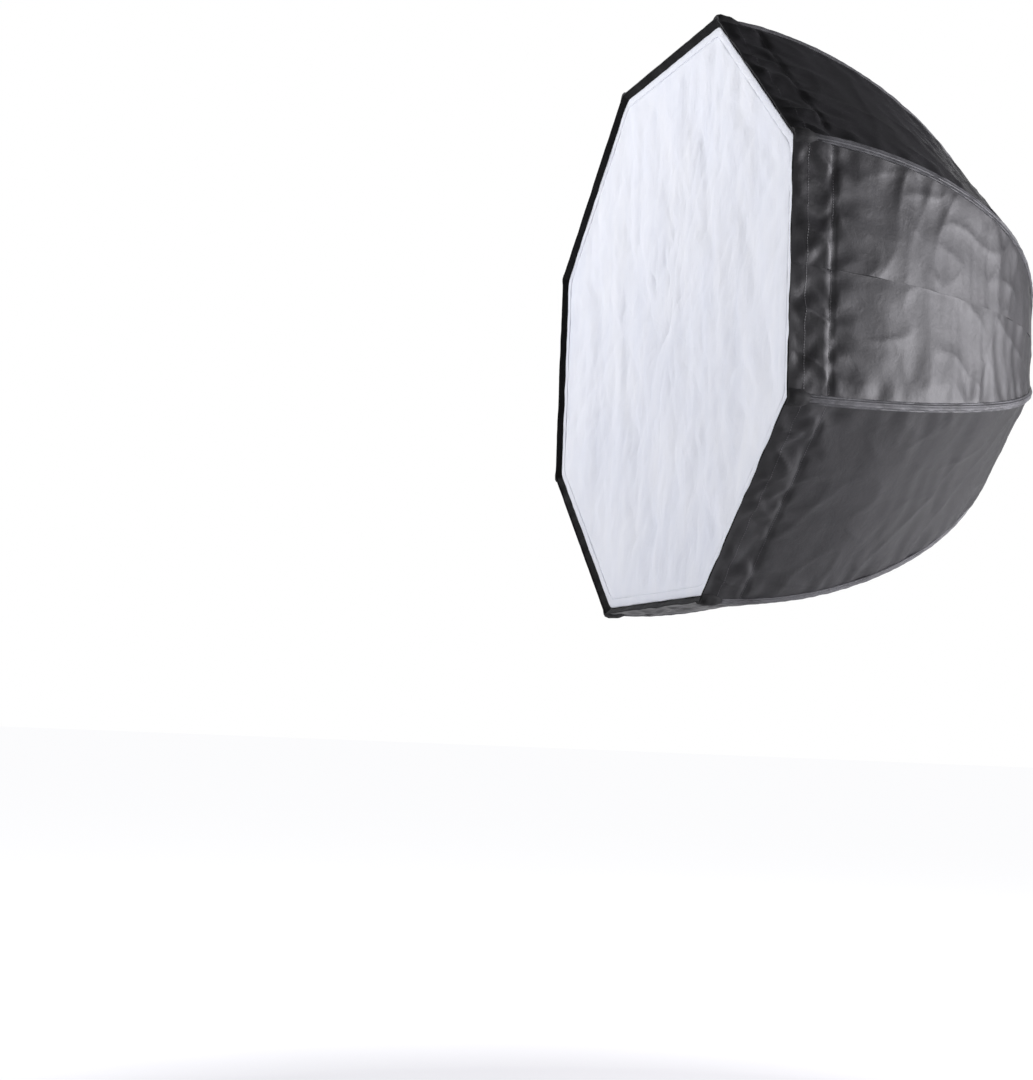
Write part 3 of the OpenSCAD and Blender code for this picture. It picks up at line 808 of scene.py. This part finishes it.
def over_rib(name, rib, d0, d1, shape, mat, size, front=True):
    """A low strip over a rib, from d0 to d1 back from the rim.

    size gives what the section's width and height are multiplied by at a way back from the rim.
    """
    rows = np.linspace(d0, d1, int(round((d1 - d0) / ROW_STEP)) + 1)
    curve = np.stack([np.interp(rows, OUTER_D, OUTER[::-1, k]) for k in (0, 1)], -1)
    base = shape[-1][0]
    ring = [(-u, v) for u, v in reversed(shape[1:])] + shape
    ring += [(u, UNDERSIDE) for u in (base, 0.0, -base)]
    verts, uvs = [], []
    for k, (c, m) in enumerate(zip(curve, normals(curve))):
        wide, high = size(rows[k])
        wide = min(wide, 0.8 * c[0] * T8 / base)
        for u, v in ring:
            side = 1 if u >= 0 else -1
            lump = 1 + LUMPS * float(noise(rows[k] / 0.011, u * 260, 77 + rib))
            lift = v * (high * lump if v > 0 else 1)
            t = -side * max(c[0] * T8 - abs(u) * wide, 0.0)
            gore = rib if side > 0 else rib - 1
            verts.append(to_world(gore, c[0] + m[0] * lift, c[1] + m[1] * lift, t))
            uvs.append((rows[k] / UV_UNIT, u / UV_UNIT))
    faces = strip_faces(len(rows), len(ring))
    o = outward(new_object(name, np.array(verts), faces, np.array(uvs), [mat]))
    o.data.set_sharp_from_angle(angle=math.radians(60))
    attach(o, f"rib_{'front' if front else 'rear'}_{rib}")


SPLIT_D = float(np.interp(split_y, OUTER[::-1, 1], OUTER_D))
END_D = TOTAL - 0.026


def front_seam(d):
    """Lower towards the rim, where it goes under the corner pocket."""
    return 1, 0.6 + 0.4 * float(ease(d, 0.02, 0.07))


def rear_seam(d):
    """Lower towards the crown."""
    return 1, 1 - 0.5 * float(ease(d, END_D - 0.06, END_D))


def corner_pocket(d):
    """Rounded at the rim, and running out to the rear."""
    wide = 1.15 - 0.45 * float(ease(d, 0.016, 0.036))
    return wide, 0.70 + 0.35 * float(ease(d, 0, 0.008)) - 0.85 * float(ease(d, 0.018, 0.036))


for i in range(1, 9):
    over_rib(f"seam_front_{i}", i, 0.020, SPLIT_D, WELT_SHAPE, WELT, front_seam)
    over_rib(f"seam_rear_{i}", i, SPLIT_D, END_D, WELT_SHAPE, WELT, rear_seam, front=False)
    over_rib(f"pocket_{i}", i, 0.0004, 0.036, POCKET_SHAPE, BORDER, corner_pocket)

# ---------------------------------------------------------------- the stand slot
def lining_patch(name, gore, side, t0, t1, y0, y1, thick, mat):
    """A strip that lies against the lining, from t0 to t1 across and from y0 to y1."""
    cols, rings = 6, []
    for drop in (0.0002, 0.0002 + thick):
        curve, d = section(INNER, [y0, y1])
        curve, d = curve[1:-1], d[1:-1]
        t = -side * (t0 + (t1 - t0) * np.linspace(0, 1, cols)[None, :]) + 0 * d[:, None]
        h = inner_height(gore, d[:, None], t, curve[:, 0, None] * T8) - drop
        h -= 0.0005 * thick / 0.001 * (1 - np.cos(np.linspace(-math.pi, math.pi, cols)))[None, :] * 0.25
        rings.append((lifted(gore, curve, normals(curve), h, t), cloth_uv(t, d)))
    (a, ua), (b, ub) = rings
    verts = np.concatenate([a, b[:, ::-1]], axis=1)
    uvs = np.concatenate([ua, ub[:, ::-1]], axis=1)
    rows, n = verts.shape[:2]
    o = outward(new_object(name, verts.reshape(-1, 3), strip_faces(rows, n), uvs.reshape(-1, 2), [mat]))
    o.data.set_sharp_from_angle(angle=math.radians(50))
    return o


for side, rib, hand in ((1, LOWEST, "left"), (-1, LOWEST + 1, "right")):
    low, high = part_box(f"slot_strip_{hand}")
    strip = lining_patch(f"closing_strip_{hand}", LOWEST, side, t0=0.0005, t1=max(abs(low.x), abs(high.x)),
                         y0=low.y, y1=-SLOT_Y - 0.001, thick=0.0011, mat=LOOP)
    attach(strip, f"rib_front_{rib}")
    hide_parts(f"slot_strip_{hand}")
    fold_flat(strip)
    # the tape that binds the slot's edge
    ends = (0.0008, 0.005, 0.010, 0.0142)
    route = [(x, -SLOT_Y) for x in ends]
    route += [(SLOT_HALF, y) for y in np.linspace(-SLOT_Y + 0.001, SLOT_Y - 0.001, 11)]
    route += [(x, SLOT_Y) for x in reversed(ends)]
    pts = []
    for t, y in route:
        n, d = (float(np.interp(y, OUTER[::-1, 1], v)) for v in (OUTER[::-1, 0], OUTER_D))
        h = float(outer_height(LOWEST, np.array(d), np.array(-side * t), np.array(n * T8)))
        pts.append(to_world(LOWEST, np.array(n + h - 0.0006), np.array(y), np.array(-side * t)))
    trim = tube(f"slot_trim_{hand}", pts, 0.0012, BORDER, sides=8, flat=2.0, up=(1, 0, 0))
    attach(trim, f"rib_front_{rib}")
    fold_flat(trim)

# ---------------------------------------------------------------- the tapes that tie the lining to each rib
TIE_SIDES = 14
TIE_WIDE, TIE_HIGH, TIE_OUT = 0.0027, 0.00285, 0.0002  # half sizes, and its middle's way out from the rod's
for i in range(1, 9):
    out, across = rib_frame(i)
    for part, c, r, angles in (("rear", rear_c, REAR_R, (38.0, 66.0)), ("front", front_c, FRONT_R, (12.0,))):
        for k, a in enumerate(math.radians(v) for v in angles):
            at = c + r * polar(a)
            along = np.array([-math.sin(a), math.cos(a)])
            ring = []
            for b in np.arange(TIE_SIDES) * 2 * math.pi / TIE_SIDES:
                u, v = TIE_WIDE * math.cos(b), TIE_HIGH * math.sin(b) + TIE_OUT
                q = at + v * polar(a)
                ring.append(out * q[0] + Vector((0, q[1], 0)) + across * u)
            loop = tube(f"tie_{part}_{i}_{k + 1}", ring, 0.0003, BORDER, sides=6, flat=9.0,
                        up=out * along[0] + Vector((0, along[1], 0)), cyclic=True)
            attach(loop, f"rib_{part}_{i}")

# ---------------------------------------------------------------- the diffuser
def octagon_ring(n, y, count, corner=0.011):
    """Points round an octagon with softened corners, n from its centre to each flat."""
    pts = []
    for g in range(8):
        half = n * T8 - corner
        for x in np.linspace(-half, half, count):
            pts.append(to_world(g, np.array(n), np.array(y), np.array(x)))
        for k in (1, 2, 3):
            f = k / 4
            a = to_world(g, np.array(n), np.array(y), np.array(half))
            b = to_world(g + 1, np.array(n), np.array(y), np.array(-half))
            c = to_world(g, np.array(n), np.array(y), np.array(n * T8))
            pts.append(a * (1 - f) ** 2 + c * 2 * f * (1 - f) + b * f * f)
    return np.array(pts)


sheet_n = cloth_high.x - 0.001
sheet_y = (cloth_low.y + cloth_high.y) / 2


def diffuser_sheet():
    """The cloth in rings from the middle to its bound edge, wrinkled by moving its points."""
    n, y = sheet_n, sheet_y
    outer = octagon_ring(n, y, count=37)
    count, rings = len(outer), 62
    verts, uvs = [(0.0, y, 0.0)], [(0.0, 0.0)]
    for r in range(1, rings + 1):
        f = r / rings
        for p in outer:
            q = np.array([p[0] * f, y, p[2] * f])
            verts.append(q)
            uvs.append((q[0] / UV_UNIT, q[2] / UV_UNIT))
    faces = [(0, 1 + k, 1 + (k + 1) % count) for k in range(count)]
    for r in range(rings - 1):
        a, b = 1 + r * count, 1 + (r + 1) * count
        for k in range(count):
            faces.append((a + k, b + k, b + (k + 1) % count, a + (k + 1) % count))
    o = new_object("diffuser_sheet", np.array([tuple(v) for v in verts]), faces, np.array(uvs), [CLOTH])
    co = np.array([v.co for v in o.data.vertices])
    x, z = co[:, 0], co[:, 2]
    out = np.max([x * math.cos(a) + z * math.sin(a) for a in np.arange(8) * math.pi / 4], axis=0)
    e = np.maximum(n - out, 0)
    free = 1 - np.exp(-e / 0.018)
    sag = 0.0045 * ease(e, 0.0, 0.16)
    # folds that run a little off upright, then slanting creases, then gathers along the edge
    bend = x + 0.16 * z + 0.03 * noise(x / 0.25, z / 0.25, 3)
    h = 0.0032 * noise(bend / 0.115, z / 0.30, 5) + 0.0019 * noise(bend / 0.046, z / 0.13, 6)
    h += 0.0018 * (ridge(bend / 0.13, z / 0.42 + x / 0.5, 7) ** 2 - 0.2)
    h += 0.0013 * (ridge((bend + 0.3 * z) / 0.052, z / 0.12 - x / 0.3, 14) ** 2 - 0.2)
    h += 0.0010 * (ridge((bend - 0.2 * z) / 0.030, z / 0.062, 15) ** 2 - 0.2)
    h += 0.0020 * (ridge((x * 0.75 + z) / 0.21, (x - z * 0.75) / 0.5, 8) ** 3 - 0.1)
    h += 0.0012 * (ridge((x - z * 1.3) / 0.15, (x + z) / 0.4, 12) ** 3 - 0.1)
    h += 0.0034 * np.exp(-e / 0.045) * noise(np.arctan2(z, x) * 15, e / 0.10, 9)
    co[:, 1] = y + free * (h + sag)
    o.data.vertices.foreach_set("co", co.astype(np.float32).ravel())
    o.data.update()
    return o


sheet = diffuser_sheet()
thick = sheet.modifiers.new("thickness", "SOLIDIFY")
thick.thickness = 0.0006
thick.offset = 0
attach(sheet, "diffuser")
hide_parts("diffuser_cloth")


def bound_edge():
    """The tape round the diffuser's edge, folded over it and sewn."""
    n_in, n_out = sheet_n - 0.002, edge_high.x
    ring = []
    for n, y in ((n_in, edge_low.y + 0.0004), (n_in + 0.0012, edge_low.y), (n_out - 0.0012, edge_low.y),
                 (n_out, edge_low.y + 0.0006), (n_out - 0.0006, edge_high.y), (n_in, edge_high.y)):
        ring.append(octagon_ring(n, y, count=30))
    rings, count = len(ring), len(ring[0])
    pts = np.array(ring)
    a = np.arctan2(pts[:, :, 2], pts[:, :, 0])
    # the front rings wave back and forth, and the outer ones in and out
    wave = noise(a * 22, np.arange(rings)[:, None] * 0.2, 31)
    pts[:, :, 1] += wave * np.array([0.0006, 0.0007, 0.0007, 0.0005, 0, 0])[:, None]
    drift = 0.0011 * noise(a * 13, np.zeros((rings, 1)), 32)[:, :, None]
    pts[:, :, (0, 2)] *= 1 + drift * np.array([0, 1, 1, 1, 1, 0])[:, None, None]
    verts = pts.reshape(-1, 3)
    s = np.arange(count) * 0.01
    uvs = np.stack([np.broadcast_to(s[None, :] / UV_UNIT, (rings, count)),
                    np.broadcast_to(np.arange(rings)[:, None] * 0.02, (rings, count))], -1).reshape(-1, 2)
    faces = []
    for r in range(rings):
        a, b = r * count, (r + 1) % rings * count
        for k in range(count):
            l = (k + 1) % count
            faces.append((a + k, a + l, b + l, b + k))
    o = outward(new_object("diffuser_edge", verts, faces, uvs, [CLOTH_EDGE]))
    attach(o, "diffuser")
    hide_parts("diffuser_binding")
    return o


edge = bound_edge()
for o in (sheet, edge):
    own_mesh(o)
flat_area = 8 * T8 * sheet_n ** 2

# ---------------------------------------------------------------- light, floor and camera
SCENE = bpy.context.scene
centre = Vector((0, (rim_y + cad_high.y) / 2, 0))


def area_light(name, place, aim, size, power, tint=(1, 1, 1)):
    """A rectangular lamp at place, turned to aim. size is in metres and power in watts."""
    data = bpy.data.lights.new(name, "AREA")
    data.shape = "RECTANGLE"
    data.size, data.size_y = size
    data.energy = power
    data.color = tint
    o = bpy.data.objects.new(name, data)
    SCENE.collection.objects.link(o)
    o.location = place
    o.rotation_mode = "QUATERNION"
    o.rotation_quaternion = (Vector(aim) - Vector(place)).to_track_quat("-Z", "Y")


rim_centre = Vector((0, rim_y, 0))
area_light("key", rim_centre + Vector((1.45, 3.2, 0.1)), centre, (2.1, 1.5), 285, (1.0, 0.982, 1.04))
area_light("side", rim_centre + Vector((3.0, 0.7, 0.9)), centre, (0.7, 1.8), 8)
area_light("front", rim_centre + Vector((-2.6, -1.7, 1.6)), rim_centre, (1.1, 1.1), 76, (0.985, 0.99, 1.03))
area_light("back", rim_centre + Vector((-2.4, 2.4, 1.0)), centre, (1.6, 1.6), 14)

# white to the camera, and dim to everything else
world = bpy.data.worlds.new("studio")
SCENE.world = world
world.use_nodes = True
nt = world.node_tree
back_n = nt.nodes["Background"]
back_n.inputs["Color"].default_value = (0.95, 0.96, 0.98, 1)
back_n.inputs["Strength"].default_value = 0.08
seen = nt.nodes.new("ShaderNodeBackground")
seen.inputs["Color"].default_value = (1, 1, 1, 1)
seen.inputs["Strength"].default_value = 1.0
ray = nt.nodes.new("ShaderNodeLightPath")
blend = nt.nodes.new("ShaderNodeMixShader")
nt.links.new(ray.outputs["Is Camera Ray"], blend.inputs[0])
nt.links.new(back_n.outputs[0], blend.inputs[1])
nt.links.new(seen.outputs[0], blend.inputs[2])
nt.links.new(blend.outputs[0], nt.nodes["World Output"].inputs["Surface"])

# a round floor, and its glow: dark under the part and bright further out
FLOOR_Z = -1.35
FLOOR_RINGS = (2.0, 5.0, 12.0, 40.0, 120.0)
FLOOR_SIDES = 48
GLOW_SCALE = 0.25
floor_v = [(0, 0, FLOOR_Z)]
for r in FLOOR_RINGS:
    for a in np.arange(FLOOR_SIDES) * 2 * math.pi / FLOOR_SIDES:
        floor_v.append((r * math.cos(a), r * math.sin(a), FLOOR_Z))
floor_f = [(0, 1 + k, 1 + (k + 1) % FLOOR_SIDES) for k in range(FLOOR_SIDES)]
for r in range(len(FLOOR_RINGS) - 1):
    a, b = 1 + r * FLOOR_SIDES, 1 + (r + 1) * FLOOR_SIDES
    for k in range(FLOOR_SIDES):
        l = (k + 1) % FLOOR_SIDES
        floor_f.append((a + k, b + k, b + l, a + l))
fm = Mat("floor", (0.93, 0.93, 0.935), 0.8)
cloud = fm.noise(fm.mapped(), 2.0, 3, 0.5)
fm.color(fm.ramp(cloud, [(0.3, (0.92, 0.92, 0.925)), (0.7, (0.94, 0.94, 0.945))]))
far = fm.node("ShaderNodeTexGradient", gradient_type="SPHERICAL")
fm.links.new(fm.mapped([GLOW_SCALE] * 3, location=(0, 0, -FLOOR_Z * GLOW_SCALE)), far.inputs[0])
glow = fm.ramp(far.outputs[1], [(0.24, (0.90, 0.90, 0.91)), (0.58, (0.02, 0.02, 0.02))])
fm.links.new(glow, fm.bsdf.inputs["Emission Color"])
fm.bsdf.inputs["Emission Strength"].default_value = 1.0
floor = new_object("floor", floor_v, floor_f, mats=[fm.mat])
floor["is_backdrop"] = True

# the camera, from a fit to the rim's eight corners. The lens is 1.5 percent shorter than the fit gave
CAMERA_FROM_RIM = Vector((2.3188, -1.0021, -0.5846))
LENS_MM, SENSOR_MM = 59.9, 36
cam_data = bpy.data.cameras.new("camera")
cam = bpy.data.objects.new("camera", cam_data)
SCENE.collection.objects.link(cam)
SCENE.camera = cam
cam_data.lens = LENS_MM
cam_data.sensor_width = SENSOR_MM
forward = Vector((-0.93965, 0.32470, 0.10788)).normalized()
down = Vector((-0.08882, 0.07300, -0.99337)).normalized()
right = down.cross(forward).normalized()
down = forward.cross(right).normalized()
cam.matrix_world = Matrix.Translation(rim_centre + CAMERA_FROM_RIM) @ Matrix(
    ((right.x, -down.x, -forward.x), (right.y, -down.y, -forward.y), (right.z, -down.z, -forward.z))
).to_4x4()
SCENE.view_settings.view_transform = "Standard"

low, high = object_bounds()
